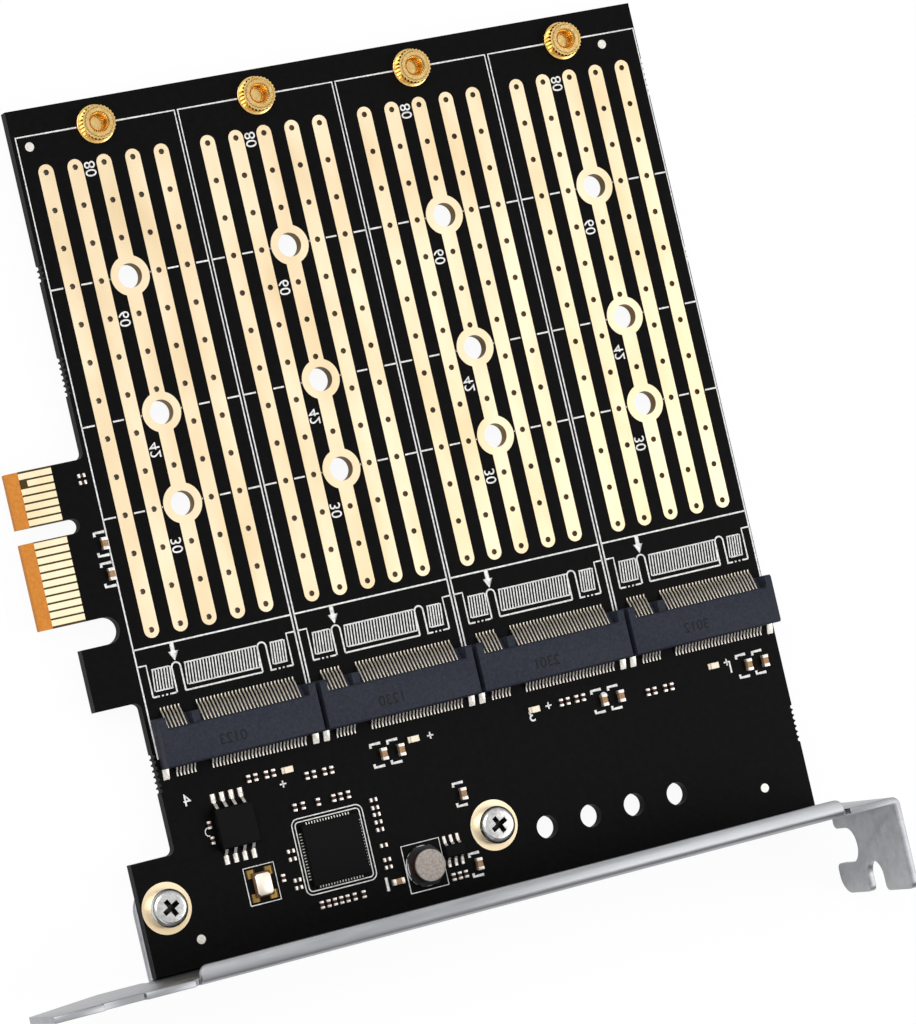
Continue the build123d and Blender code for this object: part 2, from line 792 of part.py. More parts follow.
# Power inductor: ferrite drum core with a copper winding in its waist
with BuildPart() as inductor_core:
    with BuildSketch(Plane.XY.offset(front_z)) as base_outline:
        with Locations(inductor_xy):
            Rectangle(inductor_width, inductor_length)
        chamfer(base_outline.vertices(), length=inductor_corner)
    extrude(amount=inductor_base_height)
    with BuildSketch(Plane.XY.offset(front_z + inductor_base_height)):
        with Locations(inductor_xy):
            RegularPolygon(inductor_neck_diameter / 2, hidden_sides)
    extrude(amount=inductor_height - inductor_base_height)
    with BuildSketch(Plane.XY.offset(front_z + inductor_height - inductor_top_height)):
        with Locations(inductor_xy):
            RegularPolygon(inductor_top_diameter / 2, drum_sides)
    extrude(amount=inductor_top_height)
inductor_core.part.label = "inductor_core"
export_step(inductor_core.part, "parts/inductor_core.step")

with BuildPart() as inductor_winding:
    with BuildSketch(Plane.XY.offset(front_z + inductor_base_height)):
        with Locations(inductor_xy):
            RegularPolygon(inductor_top_diameter / 2 - winding_clearance, drum_sides)
            RegularPolygon(inductor_neck_diameter / 2, hidden_sides, mode=Mode.SUBTRACT)
    extrude(amount=inductor_height - inductor_base_height - inductor_top_height)
inductor_winding.part.label = "inductor_winding"
export_step(inductor_winding.part, "parts/inductor_winding.step")

# Chip capacitors, then the smaller chip resistors and capacitors
with BuildPart() as capacitors:
    with BuildSketch(Plane.XY.offset(front_z)):
        with Locations(capacitors_along_y):
            Rectangle(capacitor_width, capacitor_length)
        with Locations(capacitors_along_x):
            Rectangle(capacitor_length, capacitor_width)
    extrude(amount=capacitor_height)
capacitors.part.label = "capacitors"
export_step(capacitors.part, "parts/capacitors.step")

with BuildPart() as small_chips:
    with BuildSketch(Plane.XY.offset(front_z)):
        with Locations(small_along_y):
            Rectangle(small_width, small_length)
        with Locations(small_along_x):
            Rectangle(small_length, small_width)
    extrude(amount=small_height)
small_chips.part.label = "small_chip_parts"
export_step(small_chips.part, "parts/small_chip_parts.step")

# Indicator lamps: a flat base with a clear moulded block on it
with BuildPart() as lamps:
    with BuildSketch(Plane.XY.offset(front_z)):
        with Locations(lamp_places):
            Rectangle(lamp_length, lamp_width)
    extrude(amount=lamp_base_height)
    with BuildSketch(Plane.XY.offset(front_z + lamp_base_height)):
        with Locations(lamp_places):
            Rectangle(lamp_lens_length, lamp_width)
    extrude(amount=lamp_height - lamp_base_height)
lamps.part.label = "status_lamps"
export_step(lamps.part, "parts/status_lamps.step")
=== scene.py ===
import math

import bpy
from mathutils import Euler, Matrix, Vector


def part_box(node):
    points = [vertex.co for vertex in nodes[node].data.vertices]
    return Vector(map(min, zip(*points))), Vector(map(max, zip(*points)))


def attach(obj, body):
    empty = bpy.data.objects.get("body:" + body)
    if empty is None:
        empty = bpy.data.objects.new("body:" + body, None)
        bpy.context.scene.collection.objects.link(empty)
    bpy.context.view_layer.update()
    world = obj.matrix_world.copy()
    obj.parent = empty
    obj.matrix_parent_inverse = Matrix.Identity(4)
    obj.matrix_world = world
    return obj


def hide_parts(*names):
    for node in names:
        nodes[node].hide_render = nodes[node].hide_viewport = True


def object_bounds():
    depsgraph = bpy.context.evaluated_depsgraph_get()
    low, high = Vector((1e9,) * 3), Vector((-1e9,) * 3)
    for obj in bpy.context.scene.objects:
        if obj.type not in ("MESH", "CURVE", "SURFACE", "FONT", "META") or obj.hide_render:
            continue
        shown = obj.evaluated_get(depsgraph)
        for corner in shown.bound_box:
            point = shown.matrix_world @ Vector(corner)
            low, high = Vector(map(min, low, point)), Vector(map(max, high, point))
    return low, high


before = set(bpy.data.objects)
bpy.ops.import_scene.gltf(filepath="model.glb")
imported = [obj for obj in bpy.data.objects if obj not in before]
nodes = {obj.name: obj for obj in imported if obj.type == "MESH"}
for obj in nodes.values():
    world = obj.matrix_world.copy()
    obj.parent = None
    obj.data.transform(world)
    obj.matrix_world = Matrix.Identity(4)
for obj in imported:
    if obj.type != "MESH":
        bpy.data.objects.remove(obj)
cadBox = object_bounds()
mm = 0.001
bpy.ops.object.select_all(action="DESELECT")

# Camera at the photograph's own viewing angle, in millimetres and degrees
view = {
    "place": (-179.777, -20.607, 549.570),
    "turn": (6.710, -22.6793, -14.167),
    "lens": 159.961,
    "sensor": 36.0,
}


def addCamera():
    data = bpy.data.cameras.new("camera")
    data.lens = view["lens"]
    data.sensor_width = view["sensor"]
    data.sensor_fit = "AUTO"
    data.clip_end = 20.0
    camera = bpy.data.objects.new("camera", data)
    camera.location = [value * mm for value in view["place"]]
    camera.rotation_euler = Euler([math.radians(value) for value in view["turn"]], "XYZ")
    bpy.context.scene.collection.objects.link(camera)
    bpy.context.scene.camera = camera


addCamera()
bpy.context.scene.view_settings.view_transform = "Standard"
print("camera set")


def hexColor(text):
    channels = [int(text[i : i + 2], 16) / 255 for i in (0, 2, 4)]
    linear = [c / 12.92 if c <= 0.04045 else ((c + 0.055) / 1.055) ** 2.4 for c in channels]
    return (*linear, 1.0)


def addNode(material, kind, settings=None, links=None):
    node = material.node_tree.nodes.new(kind)
    for name, value in (settings or {}).items():
        if isinstance(name, str) and hasattr(node, name):
            setattr(node, name, value)
        else:
            node.inputs[name].default_value = value
    for name, source in (links or {}).items():
        material.node_tree.links.new(source, node.inputs[name])
    return node


# A Math node on sockets or plain numbers
def addMath(material, operation, *sources):
    settings = {i: source for i, source in enumerate(sources) if isinstance(source, float)}
    links = {i: source for i, source in enumerate(sources) if i not in settings}
    return addNode(material, "ShaderNodeMath", {"operation": operation, **settings}, links).outputs[0]


def newMaterial(name, color, metallic, roughness, specular=None):
    material = bpy.data.materials.new(name)
    material.use_nodes = True
    shader = material.node_tree.nodes["Principled BSDF"]
    shader.inputs["Base Color"].default_value = hexColor(color)
    shader.inputs["Metallic"].default_value = metallic
    shader.inputs["Roughness"].default_value = roughness
    if specular is not None:
        shader.inputs["Specular IOR Level"].default_value = specular
    return material


# Mottled colour and a fine bump, both at a grain in millimetres
def grain(material, colors, grainMm, bump=0.1, stretch=(1, 1, 1), roughness=None, detail=4.0):
    tree = material.node_tree
    shader = tree.nodes["Principled BSDF"]
    place = addNode(material, "ShaderNodeTexCoord")
    turned = addNode(material, "ShaderNodeMapping", {"Scale": stretch}, {"Vector": place.outputs["Object"]})
    noise = addNode(
        material,
        "ShaderNodeTexNoise",
        {"Scale": 1 / (grainMm * mm), "Detail": detail},
        {"Vector": turned.outputs["Vector"]},
    )
    ramp = addNode(material, "ShaderNodeValToRGB", {}, {"Fac": noise.outputs["Fac"]})
    ramp.color_ramp.elements[0].position = 0.3
    ramp.color_ramp.elements[0].color = hexColor(colors[0])
    ramp.color_ramp.elements[1].position = 0.7
    ramp.color_ramp.elements[1].color = hexColor(colors[1])
    tree.links.new(ramp.outputs["Color"], shader.inputs["Base Color"])
    if roughness:
        spread = addNode(
            material, "ShaderNodeMapRange", {"To Min": roughness[0], "To Max": roughness[1]},
            {"Value": noise.outputs["Fac"]},
        )
        tree.links.new(spread.outputs["Result"], shader.inputs["Roughness"])
    raised = addNode(
        material,
        "ShaderNodeBump",
        {"Strength": bump, "Distance": 0.02 * mm},
        {"Height": noise.outputs["Fac"]},
    )
    tree.links.new(raised.outputs["Normal"], shader.inputs["Normal"])
    return ramp


# Black solder mask: a near-black satin lacquer with faint steps over the copper traces beneath it. The
# tongue has none: between its contacts the laminate shows dark brown.
mask = {"traces": 2.4, "bareTo": 6.1, "bareTop": 8.4, "bareLow": -12.3}


def solderMask():
    material = newMaterial("black solder mask", "060505", 0.0, 0.42, 0.06)
    ramp = grain(material, ("040404", "0a0808"), 0.9, 0.12)
    tree = material.node_tree
    place = addNode(material, "ShaderNodeTexCoord")
    swirl = {"Scale": 1 / (mask["traces"] * mm), "Distortion": 6.0, "Detail": 1.0, "Detail Scale": 0.4}
    swirl["bands_direction"] = "DIAGONAL"
    traces = addNode(material, "ShaderNodeTexWave", swirl, {"Vector": place.outputs["Object"]})
    sharp = addNode(
        material,
        "ShaderNodeMapRange",
        {"From Min": 0.55, "From Max": 0.62},
        {"Value": traces.outputs["Fac"]},
    )
    toothed = tree.nodes["Principled BSDF"].inputs["Normal"]
    step = addNode(
        material,
        "ShaderNodeBump",
        {"Strength": 0.25, "Distance": 0.03 * mm},
        {"Height": sharp.outputs["Result"], "Normal": toothed.links[0].from_socket},
    )
    tree.links.new(step.outputs["Normal"], toothed)
    along = addNode(material, "ShaderNodeSeparateXYZ", {}, {"Vector": place.outputs["Object"]})
    bare = addMath(material, "LESS_THAN", along.outputs["X"], mask["bareTo"] * mm)
    belowTop = addMath(material, "LESS_THAN", along.outputs["Y"], mask["bareTop"] * mm)
    aboveLow = addMath(material, "GREATER_THAN", along.outputs["Y"], mask["bareLow"] * mm)
    zone = addMath(material, "MULTIPLY", bare, addMath(material, "MULTIPLY", belowTop, aboveLow))
    mixed = addNode(material, "ShaderNodeMix", {"data_type": "RGBA"}, {"Factor": zone})
    tree.links.new(ramp.outputs["Color"], mixed.inputs[6])
    mixed.inputs[7].default_value = hexColor("4a3620")
    tree.links.new(mixed.outputs[2], tree.nodes["Principled BSDF"].inputs["Base Color"])
    return material


# Glass-fibre laminate, cut and bevelled: orange-brown resin with a cloth weave of 0.4 mm
def bareLaminate():
    material = newMaterial("bare glass-fibre laminate", "c67c2a", 0.0, 0.6, 0.2)
    grain(material, ("c0762a", "d0862f"), 0.4, 0.15)
    return material


# Immersion gold over copper: pale, a little cloudy where the plating bath left it, with soft reflections
def immersionGold(name, colors, roughness=(0.3, 0.42)):
    material = newMaterial(name, colors[0], 0.85, 0.35)
    grain(material, colors, 6.0, 0.05, (1, 0.4, 1), roughness)
    return material


# Turned brass: bright warm metal with fine lathe rings
def turnedBrass():
    material = newMaterial("turned brass", "efc988", 1.0, 0.18)
    grain(material, ("e0b468", "f8d894"), 0.5, 0.1, (1, 1, 6), (0.1, 0.24))
    return material


# Electroplated zinc on steel: pale grey with a fine rolled grain along the sheet
def zincPlatedSteel():
    material = newMaterial("zinc-plated sheet steel", "a1a2a5", 1.0, 0.34)
    grain(material, ("98999c", "aaabae"), 1.2, 0.08, (0.12, 1, 1), (0.3, 0.4))
    return material


# Nickel-plated steel: harder, brighter reflections than the bracket's
def nickelPlate():
    material = newMaterial("nickel-plated steel", "d2d2d0", 1.0, 0.18)
    grain(material, ("bdbdbb", "e2e2e0"), 0.6, 0.1, (1, 1, 1), (0.14, 0.26))
    return material


# Glass-filled nylon: satin blue-black moulding with a faint fleck
def filledNylon():
    material = newMaterial("glass-filled nylon", "252832", 0.0, 0.5, 0.15)
    grain(material, ("20232c", "2b2f3a"), 0.35, 0.25)
    return material


# Epoxy moulding compound: matt black with a fine sandy tooth from the mould
def moldingEpoxy():
    material = newMaterial("epoxy moulding compound", "09090a", 0.0, 0.6, 0.08)
    grain(material, ("060607", "0e0e0f"), 0.12, 0.35)
    return material


# Tin plate and solder: light grey, slightly lumpy where it has flowed
def brightTin(name="tin plate", colors=("d2cdc4", "f4f0e8")):
    material = newMaterial(name, colors[0], 0.7, 0.3)
    grain(material, colors, 0.3, 0.3, (1, 1, 1), (0.22, 0.4))
    return material


# Fired ceramic: dense and matt, with slight mottling
def firedCeramic(name, colors):
    material = newMaterial(name, colors[0], 0.0, 0.45, 0.3)
    grain(material, colors, 0.25, 0.15)
    return material


# Epoxy ink: white, a little rough, printed thin enough for the board to show through in places
def whiteInk(name="white legend ink", colors=("c4c4c2", "f4f4f2")):
    material = newMaterial(name, colors[0], 0.0, 0.6, 0.2)
    grain(material, colors, 0.35, 0.1, (1, 1, 1), None, 2.0)
    return material


finish = {
    "mask": solderMask(),
    "laminate": bareLaminate(),
    "strip": immersionGold("immersion gold strips", ("efd6ac", "fceaca")),
    "contact": immersionGold("hard gold contacts", ("f6e2b4", "fff3d2")),
    # The hole walls' gold is far darker than the strips' gold: painted shade inside the drilled holes
    "barrel": immersionGold("plated hole wall, painted shade", ("5c4620", "a88748")),
    "brass": turnedBrass(),
    "zinc": zincPlatedSteel(),
    "nickel": nickelPlate(),
    # Near-black copy of the screw plating for the cross recess: painted shade inside the recess
    "recess": brightTin("painted shade in screw recess", ("161514", "34322f")),
    "nylon": filledNylon(),
    "epoxy": moldingEpoxy(),
    "tin": brightTin(),
    "spring": brightTin("gold-flashed spring bronze", ("b9b09f", "ded6c6")),
    "solder": brightTin("reflowed solder", ("e6ddd2", "fdf8f2")),
    "ink": whiteInk(),
    "darkInk": whiteInk("black marking ink", ("0e0f12", "16181c")),
    "lid": immersionGold("gold-flashed crystal lid", ("f6e4c4", "fff8ea")),
    "crystal": firedCeramic("brown alumina ceramic", ("4a3220", "6a4a30")),
    "capacitor": firedCeramic("barium titanate ceramic", ("8a6a4c", "b08a64")),
    "resistor": firedCeramic("glazed chip body", ("2a1612", "4a2a22")),
    # The same ferrite, pale grey on the drum's top and near-black on its base
    "ferrite": firedCeramic("pale grey ferrite top", ("8c837c", "b5aca4")),
    "ferriteDark": firedCeramic("near-black ferrite base", ("141414", "222222")),
    "wire": brightTin("enamelled copper wire", ("3c1c0c", "6a3416")),
    "lamp": firedCeramic("clear lamp resin", ("e9d9bd", "fff4e2")),
}
print("finishes made")


def paint(node, key):
    target = nodes[node]
    target.data.materials.clear()
    target.data.materials.append(finish[key])


def activate(piece):
    bpy.ops.object.select_all(action="DESELECT")
    piece.select_set(True)
    bpy.context.view_layer.objects.active = piece


# A merged copy of a CAD node's mesh, ready for modifiers
def copyOf(node, name):
    mesh = nodes[node].data.copy()
    piece = bpy.data.objects.new(name, mesh)
    bpy.context.scene.collection.objects.link(piece)
    activate(piece)
    bpy.ops.object.mode_set(mode="EDIT")
    bpy.ops.mesh.select_all(action="SELECT")
    bpy.ops.mesh.remove_doubles(threshold=0.0005 * mm)
    bpy.ops.mesh.tris_convert_to_quads()
    bpy.ops.mesh.dissolve_limited(angle_limit=math.radians(1))
    bpy.ops.object.mode_set(mode="OBJECT")
    return piece


# Only the faces that pass the test are left selected
def selectFaces(piece, test):
    activate(piece)
    bpy.ops.object.mode_set(mode="EDIT")
    bpy.ops.mesh.select_mode(type="FACE")
    bpy.ops.mesh.select_all(action="DESELECT")
    bpy.ops.object.mode_set(mode="OBJECT")
    for face in piece.data.polygons:
        face.select = test(face)


def applyModifier(piece, kind, settings):
    activate(piece)
    modifier = piece.modifiers.new(kind.lower(), kind)
    for name, value in settings.items():
        setattr(modifier, name, value)
    bpy.ops.object.modifier_apply(modifier=modifier.name)


def softenEdges(piece, widthMm, segments=2, angle=35):
    settings = {
        "width": widthMm * mm,
        "segments": segments,
        "limit_method": "ANGLE",
        "angle_limit": math.radians(angle),
        "use_clamp_overlap": True,
    }
    applyModifier(piece, "BEVEL", settings)
    activate(piece)
    bpy.ops.object.shade_smooth_by_angle(angle=math.radians(35))


def settle(piece, slotName, *replaced):
    activate(piece)
    bpy.ops.object.transform_apply(location=True, rotation=True, scale=True)
    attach(piece, "root")
    if replaced:
        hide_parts(*replaced)


def joined(pieces, name):
    bpy.ops.object.select_all(action="DESELECT")
    for piece in pieces:
        piece.select_set(True)
    bpy.context.view_layer.objects.active = pieces[0]
    bpy.ops.object.join()
    pieces[0].name = name
    return pieces[0]


def copied(piece, place):
    twin = piece.copy()
    twin.data = piece.data.copy()
    twin.location = place
    bpy.context.scene.collection.objects.link(twin)
    return twin


# Lines or wires through points in millimetres, as one mesh; flat below 1 presses them on to the face at z
def drawLines(name, lines, widthMm, key, zMm=0.8, flat=None, closed=False, resolution=1):
    data = bpy.data.curves.new(name, "CURVE")
    data.dimensions = "3D"
    data.bevel_depth = widthMm / 2 * mm
    data.bevel_resolution = resolution
    data.use_fill_caps = True
    for line in lines:
        spline = data.splines.new("POLY")
        spline.points.add(len(line) - 1)
        spline.use_cyclic_u = closed
        for point, place in zip(spline.points, line):
            point.co = (place[0] * mm, place[1] * mm, (place[2] if len(place) > 2 else 0) * mm, 1)
            point.radius = place[3] if len(place) > 3 else 1.0
    piece = bpy.data.objects.new(name, data)
    bpy.context.scene.collection.objects.link(piece)
    activate(piece)
    bpy.ops.object.convert(target="MESH")
    piece = bpy.context.object
    if flat:
        piece.scale = (1, 1, flat)
        piece.location = (0, 0, zMm * mm)
    piece.data.materials.clear()
    piece.data.materials.append(finish[key])
    return piece


# A flat plate cut from outlines in millimetres, with holes where one outline lies in another
def cutPlate(name, outlines, thicknessMm, key, zMm, edgeMm=0.0):
    data = bpy.data.curves.new(name, "CURVE")
    data.dimensions = "2D"
    data.fill_mode = "BOTH"
    data.extrude = (thicknessMm / 2 - edgeMm) * mm
    data.bevel_depth = edgeMm * mm
    data.bevel_resolution = 1
    data.offset = -edgeMm * mm
    for outline in outlines:
        spline = data.splines.new("POLY")
        spline.points.add(len(outline) - 1)
        spline.use_cyclic_u = True
        for point, place in zip(spline.points, outline):
            point.co = (place[0] * mm, place[1] * mm, 0, 1)
    piece = bpy.data.objects.new(name, data)
    bpy.context.scene.collection.objects.link(piece)
    activate(piece)
    bpy.ops.object.convert(target="MESH")
    piece = bpy.context.object
    bpy.ops.object.mode_set(mode="EDIT")
    bpy.ops.mesh.select_all(action="SELECT")
    bpy.ops.mesh.remove_doubles(threshold=0.0005 * mm)
    bpy.ops.mesh.normals_make_consistent(inside=False)
    bpy.ops.object.mode_set(mode="OBJECT")
    piece.location = (0, 0, (zMm + thicknessMm / 2) * mm)
    piece.data.materials.clear()
    piece.data.materials.append(finish[key])
    return piece


def ring(x, y, radius, count=24, start=0.0, turn=2 * math.pi):
    steps = count if turn >= 2 * math.pi else count + 1
    return [
        (x + radius * math.cos(start + turn * i / count), y + radius * math.sin(start + turn * i / count))
        for i in range(steps)
    ]


bays = {"first": 22.4, "pitch": 22.53, "count": 4, "holes": (29.95, 11.95, -0.05)}
bayXs = [bays["first"] + i * bays["pitch"] for i in range(bays["count"])]
top = 0.8

# Copper strips: five for each bay, with rounded ends, via holes every 5 mm and lands round the module holes
strip = {"width": 2.06, "pitch": 4.0, "far": 46.0, "near": -16.1, "via": 0.38, "land": 2.65, "hole": 1.6}
viaYs = [44.95 - 5 * i for i in range(13)]


def viaPlaces(bayX):
    places = []
    for i in range(-2, 3):
        for y in viaYs:
            blocked = i == 0 and min(abs(y - hole) for hole in bays["holes"]) < 2.8
            if not blocked:
                places.append((bayX + i * strip["pitch"], y))
    return places


def stripOutline(x, withLands):
    half = strip["width"] / 2
    reach = math.sqrt(strip["land"] ** 2 - half**2)
    corner = math.atan2(reach, half)
    right = ring(x, strip["near"] + half, half, 10, math.pi, math.pi)
    left = []
    if withLands:
        for y in sorted(bays["holes"]):
            right += ring(x, y, strip["land"], 14, -corner, 2 * corner)
            left = ring(x, y, strip["land"], 14, math.pi - corner, 2 * corner) + left
    return right + ring(x, strip["far"] - half, half, 10, 0, math.pi) + left


allVias = []
for number, bayX in enumerate(bayXs, start=1):
    outlines = [stripOutline(bayX + i * strip["pitch"], i == 0) for i in range(-2, 3)]
    vias = viaPlaces(bayX)
    allVias += vias
    outlines += [ring(x, y, strip["via"], 14) for x, y in vias]
    outlines += [ring(bayX, y, strip["hole"], 40) for y in bays["holes"]]
    copper = cutPlate(f"copper_strips_{number}", outlines, 0.06, "strip", top)
    settle(copper, "gold_plating", f"thermal_strips_{number}")
print("copper strips cut")

# Board: the CAD outline with its vias drilled and the perforations where it was snapped out of its panel
perforation = {
    "radius": 0.28,
    "pitch": 0.75,
    "longRows": ((10.75, 18.9, 7), (10.75, -33.1, 7), (101.2, 43.15, 7), (101.2, -46.65, 7)),
    "shortRows": ((10.75, 32.4, 3), (101.2, 18.5, 3)),
}
tongue = {"bevelEnd": 1.55, "middle": -2, "half": 10.4}
drilled = {"x": (12.5, 100.5), "y": (-17, 47)}
board = copyOf("circuit_board", "board_drilled")


def drill(x, y, radius, sides):
    bpy.ops.mesh.primitive_cylinder_add(
        vertices=sides, radius=radius * mm, depth=4 * mm, location=(x * mm, y * mm, 0)
    )
    return bpy.context.object


drills = [drill(x, y, strip["via"] - 0.04, 12) for x, y in allVias]
for x, y, count in perforation["longRows"] + perforation["shortRows"]:
    for i in range(count):
        drills.append(drill(x, y + (i - (count - 1) / 2) * perforation["pitch"], perforation["radius"], 10))
cutter = joined(drills, "drills")
applyModifier(board, "BOOLEAN", {"operation": "DIFFERENCE", "object": cutter, "solver": "EXACT"})
bpy.data.objects.remove(cutter)
for key in ("mask", "laminate", "barrel"):
    board.data.materials.append(finish[key])
while board.data.materials[0] != finish["mask"]:
    board.data.materials.pop(index=0)
for face in board.data.polygons:
    x, y = face.center.x / mm, face.center.y / mm
    onBevel = x < tongue["bevelEnd"] and abs(y - tongue["middle"]) < tongue["half"]
    slanted = abs(face.normal.z) < 0.99 and abs(face.normal.x) > 0.1
    amongVias = drilled["x"][0] < x < drilled["x"][1] and drilled["y"][0] < y < drilled["y"][1]
    face.material_index = 0
    if onBevel and slanted:
        face.material_index = 1
    # Via hole walls take the darkened gold, which is painted shade inside the holes
    elif amongVias and abs(face.normal.z) < 0.1:
        face.material_index = 2
settle(board, "solder_mask", "circuit_board")
print("board drilled", len(board.data.polygons))

# White legend: bay boxes, module edges, part outlines and plain size numbers
legend = {"line": 0.24, "thin": 0.16, "press": 0.12, "low": -17.15}
screws = ((8.0, -49.95), (54.6, -49.95))
controller = {"x": 32.0, "y": -47.95, "pads": 16, "pitch": 0.4, "from": 3.98, "to": 4.3}
flash = {"x": 19.3, "y": -41.85, "pitch": 1.27}
crystal = {"x": 21.3, "y": -49.95, "box": (4.25, 4.88)}
regulator = {"x": 48.2, "y": -51.8, "pitch": 0.95}
coil = {
    "x": 43.8,
    "y": -52.85,
    "box": (5.44, 6.26),
    "radius": 2.1,
    "rim": 1.6,
    "rimHeight": 0.5,
    "wound": 1.86,
    "wire": 0.22,
}


def legendLines():
    lines = []
    half = bays["pitch"] / 2
    for bayX in bayXs:
        left = bayX - half + 0.24
        right = bayX + half - 0.24
        lines.append([(left, legend["low"] - 14.2), (left, 49.95), (bayX - 2.6, 49.95)])
        lines.append([(bayX + 2.6, 49.95), (right, 49.95), (right, legend["low"] - 12)])
        lines.append([(left, legend["low"]), (right, legend["low"])])
        for y in bays["holes"]:
            stops = [left] + [bayX + s * 4.0 + e * 1.25 for s in range(-2, 3) for e in (-1, 1)] + [right]
            for a, b in zip(stops[::2], stops[1::2]):
                if abs((a + b) / 2 - bayX) < 3:
                    a, b = (a, b - 1.6) if b < bayX else (a + 1.6, b)
                lines.append([(a, y), (b, y)])
    return lines


def moduleEdges():
    lines = []
    for bayX in bayXs:
        half = bays["pitch"] / 2 - 0.24
        notchLeft = ring(bayX - 5.86, -20.35, 0.6, 8, 0, math.pi)
        notchRight = ring(bayX + 6.12, -20.35, 0.6, 8, 0, math.pi)
        lines.append([(bayX - half, -19.35), (bayX - 9.8, -19.35), (bayX - 9.8, -23.55)])
        lines.append([(bayX - 6.46, -23.55)] + notchLeft[::-1] + [(bayX - 5.26, -23.55)])
        lines.append([(bayX - 5.26, -23.55), (bayX + 5.52, -23.55)])
        lines.append([(bayX + 5.52, -23.55)] + notchRight[::-1] + [(bayX + 6.72, -23.55)])
        lines.append([(bayX + 9.8, -23.55), (bayX + 9.8, -19.35), (bayX + half, -19.35)])
        for side in (-1, 1):
            for start, end in ((9.8, 8.9), (8.6, 8.35), (8.0, 7.75), (7.45, 6.6)):
                lines.append([(bayX + side * start, -23.55), (bayX + side * end, -23.55)])
    return lines


def fingerHatch():
    lines = []
    for bayX in bayXs:
        for start, end in ((-9.23, -6.8), (-4.7, 5.4), (7.3, 9.2)):
            count = round((end - start) / 0.42)
            for i in range(count + 1):
                x = bayX + start + (end - start) * i / count
                lines.append([(x + 0.12, -20.05), (x - 0.12, -22.85)])
            lines.append([(bayX + start, -20.05), (bayX + end, -20.05)])
            lines.append([(bayX + start, -22.85), (bayX + end, -22.85)])
    return lines


def partOutlines():
    lines = []
    for half, corner in ((5.0, 0.9), (4.55, 0.5)):
        box = []
        for sx, sy, start in ((1, 1, 0), (-1, 1, 90), (-1, -1, 180), (1, -1, 270)):
            center = (controller["x"] + sx * (half - corner), controller["y"] + sy * (half - corner))
            box += ring(*center, corner, 5, math.radians(start), math.pi / 2)
        lines.append(box + [box[0]])
    for part in (crystal, coil):
        left, right = part["x"] - part["box"][0] / 2, part["x"] + part["box"][0] / 2
        low, high = part["y"] - part["box"][1] / 2, part["y"] + part["box"][1] / 2
        lines.append([(left, low), (right, low), (right, high), (left, high), (left, low)])
    for radius in (2.62, 2.35):
        circle = ring(coil["x"], coil["y"], radius, 36)
        lines.append(circle + [circle[0]])
    lines.append(ring(15.9, -41.85, 0.55, 8, math.radians(90), math.pi))
    return lines


capacitorPlaces = [(41.1, -37.45), (43.57, -37.45), (73.59, -37.45), (76.09, -37.45), (95.64, -37.45)]
capacitorPlaces += [(98.14, -37.45), (51.2, -44.95), (51.2, -54.35), (10.75, -3.0), (10.75, -7.0)]


def bracketMarks():
    lines = []
    for x, y in capacitorPlaces:
        lines.append([(x + 0.45, y + 1.5), (x - 1.0, y + 1.5), (x - 1.0, y + 1.05)])
        lines.append([(x - 1.0, y - 1.05), (x - 1.0, y - 1.5), (x + 0.45, y - 1.5)])
    lines.append([(40.7 - 2.6, -54.9), (40.7 - 2.6, -53.1)])
    return lines


def arrows():
    lines = []
    for bayX in bayXs:
        x = bayX - 5.8
        lines.append([(x, -17.2), (x, -18.4)])
        lines.append([(x, -18.3, 0, 2.4), (x, -19.5, 0, 0.1)])
    return lines


def plusMarks():
    lines = []
    for x, y in ((27.15, -38.15), (48.65, -36.55), (66.1, -36.45), (93.1, -36.45)):
        lines.append([(x - 0.45, y), (x + 0.45, y)])
        lines.append([(x, y - 0.45), (x, y + 0.45)])
    return lines


inkLayers = [
    drawLines("legend_boxes", legendLines(), legend["line"], "ink", top, legend["press"]),
    drawLines("legend_edges", moduleEdges(), legend["line"], "ink", top, legend["press"]),
    drawLines("legend_hatch", fingerHatch(), 0.2, "ink", top, legend["press"]),
    drawLines("legend_outlines", partOutlines(), legend["thin"], "ink", top, legend["press"]),
    drawLines("legend_brackets", bracketMarks(), 0.42, "ink", top, 0.07),
    drawLines("legend_arrows", arrows(), 0.6, "ink", top, 0.05),
    drawLines("legend_plus", plusMarks(), 0.22, "ink", top, legend["press"]),
]
legendPiece = joined(inkLayers, "board_legend")
settle(legendPiece, "lamp_resin")


# Plain numbers, reversed like the rest of the board; each is turned and placed in millimetres
def number(text, x, y, heightMm, turn, key="ink", zMm=top + 0.006, thicknessMm=0.02):
    data = bpy.data.curves.new(f"number_{text}", "FONT")
    data.body = text
    data.size = heightMm * 1.4 * mm
    data.align_x = "CENTER"
    data.align_y = "CENTER"
    data.extrude = thicknessMm / 2 * mm
    data.offset = 0.004 * mm
    piece = bpy.data.objects.new(f"number_{text}", data)
    bpy.context.scene.collection.objects.link(piece)
    activate(piece)
    bpy.ops.object.convert(target="MESH")
    piece = bpy.context.object
    piece.location = (x * mm, y * mm, (zMm + thicknessMm / 2) * mm)
    piece.rotation_euler = (0, 0, math.radians(turn))
    piece.scale = (-1, 1, 1)
    bpy.ops.object.transform_apply(location=True, rotation=True, scale=True)
    bpy.ops.object.mode_set(mode="EDIT")
    bpy.ops.mesh.select_all(action="SELECT")
    bpy.ops.mesh.remove_doubles(threshold=0.0005 * mm)
    bpy.ops.mesh.normals_make_consistent(inside=False)
    bpy.ops.object.mode_set(mode="OBJECT")
    piece.data.materials.clear()
    piece.data.materials.append(finish[key])
    return piece


lengthMarks = (("80", -1.95, 44.4), ("60", -2.0, 24.6), ("42", -2.0, 7.3), ("30", -2.0, -5.2))
bayMarks = (("4", -8.5), ("3", 18.5), ("2", 6.7), ("1", 3.5))
sizeNumbers = []
for bayX, (bayMark, aside) in zip(bayXs, bayMarks):
    for text, x, y in lengthMarks:
        sizeNumbers.append(number(text, bayX + x, y, 1.5, 90))
    sizeNumbers.append(number(bayMark, bayX + aside, -37.3, 1.6, 0))
numbersPiece = joined(sizeNumbers, "board_numbers")
settle(numbersPiece, "lamp_resin")
print("legend printed")

